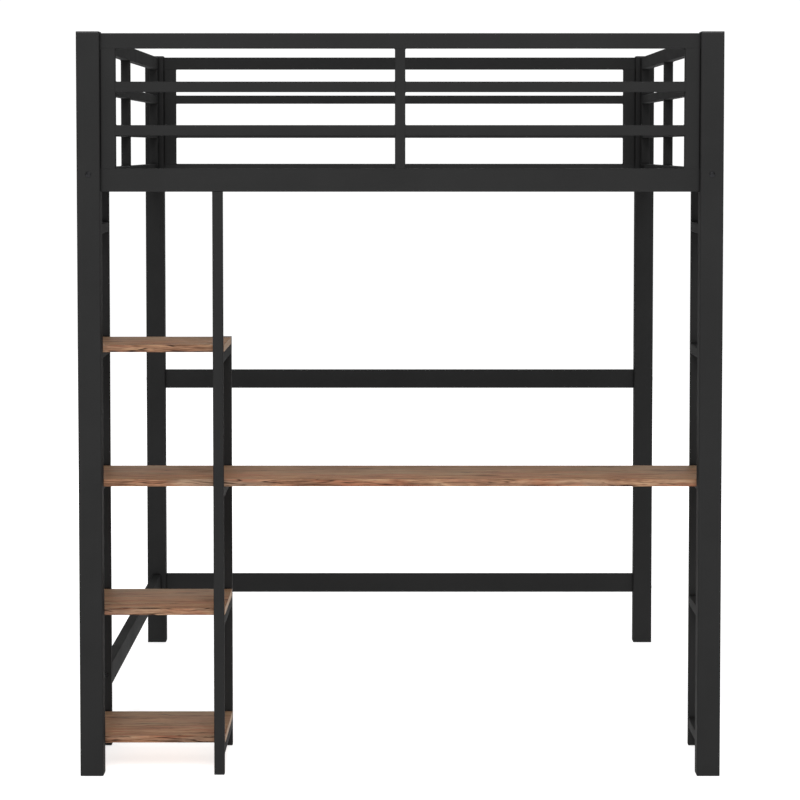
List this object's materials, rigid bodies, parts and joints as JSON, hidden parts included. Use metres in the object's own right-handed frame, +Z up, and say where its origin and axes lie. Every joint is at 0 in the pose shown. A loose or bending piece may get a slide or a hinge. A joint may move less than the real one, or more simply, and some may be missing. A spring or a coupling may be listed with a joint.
{
  "type": "loft bed with desk",
  "caption": "Queen-size steel-tube loft bed with a desk and open shelves under one short end, guard rails all round and a fixed ladder at one side.",
  "frame": {"origin": "on the floor, at the middle of the bed's footprint", "axes": "+Z up, +Y from the desk end to the rear end, +X to the ladder side"},
  "size_m": [1.6144, 2.1244, 1.868],
  "materials": {
    "powder_coat": "satin black powder coat on steel tube",
    "wood_laminate": "matt rustic brown wood-grain laminate on particle board",
    "black_plastic": "moulded black plastic, fine matt texture",
    "blackened_steel": "black zinc plated steel"
  },
  "bodies": {
    "root": {"front_left_post": "powder_coat", "front_right_post": "powder_coat", "rear_left_post": "powder_coat", "rear_right_post": "powder_coat", "front_end_panel": "powder_coat", "rear_end_panel": "powder_coat", "left_side_beam": "powder_coat", "right_side_beam": "powder_coat", "left_side_guard": "powder_coat", "right_side_guard": "powder_coat", "rear_upper_rail": "powder_coat", "rear_lower_rail": "powder_coat", "left_lower_rail": "powder_coat", "left_frame_post": "powder_coat", "ladder_stile": "powder_coat", "shelf_front_leg": "powder_coat", "shelf_rear_leg": "powder_coat", "desk_support_bar": "powder_coat", "centre_rail": "powder_coat", "left_rung_1": "powder_coat", "left_rung_2": "powder_coat", "left_rung_3": "powder_coat", "left_rung_4": "powder_coat", "left_rung_5": "powder_coat", "ladder_rung_1": "powder_coat", "ladder_rung_2": "powder_coat", "ladder_rung_3": "powder_coat", "ladder_rung_4": "powder_coat", "ladder_rung_5": "powder_coat", "shelf_side_bar_1": "powder_coat", "shelf_side_bar_2": "powder_coat", "shelf_side_bar_3": "powder_coat", "shelf_side_bar_4": "powder_coat", "slat_01": "powder_coat", "slat_02": "powder_coat", "slat_03": "powder_coat", "slat_04": "powder_coat", "slat_05": "powder_coat", "slat_06": "powder_coat", "slat_07": "powder_coat", "slat_08": "powder_coat", "slat_09": "powder_coat", "slat_10": "powder_coat", "slat_11": "powder_coat", "slat_12": "powder_coat", "slat_13": "powder_coat", "top_shelf_board": "wood_laminate", "desk_board": "wood_laminate", "lower_shelf_board": "wood_laminate", "bottom_shelf_board": "wood_laminate", "post_caps": "black_plastic", "post_feet": "black_plastic", "leg_feet": "black_plastic", "rear_leg_cap": "black_plastic", "frame_bolts": "blackened_steel", "leg_bolts": "blackened_steel", "board_screws": "blackened_steel", "slat_screws": "blackened_steel", "nut_blocks": "blackened_steel"}
  },
  "joints": []
}
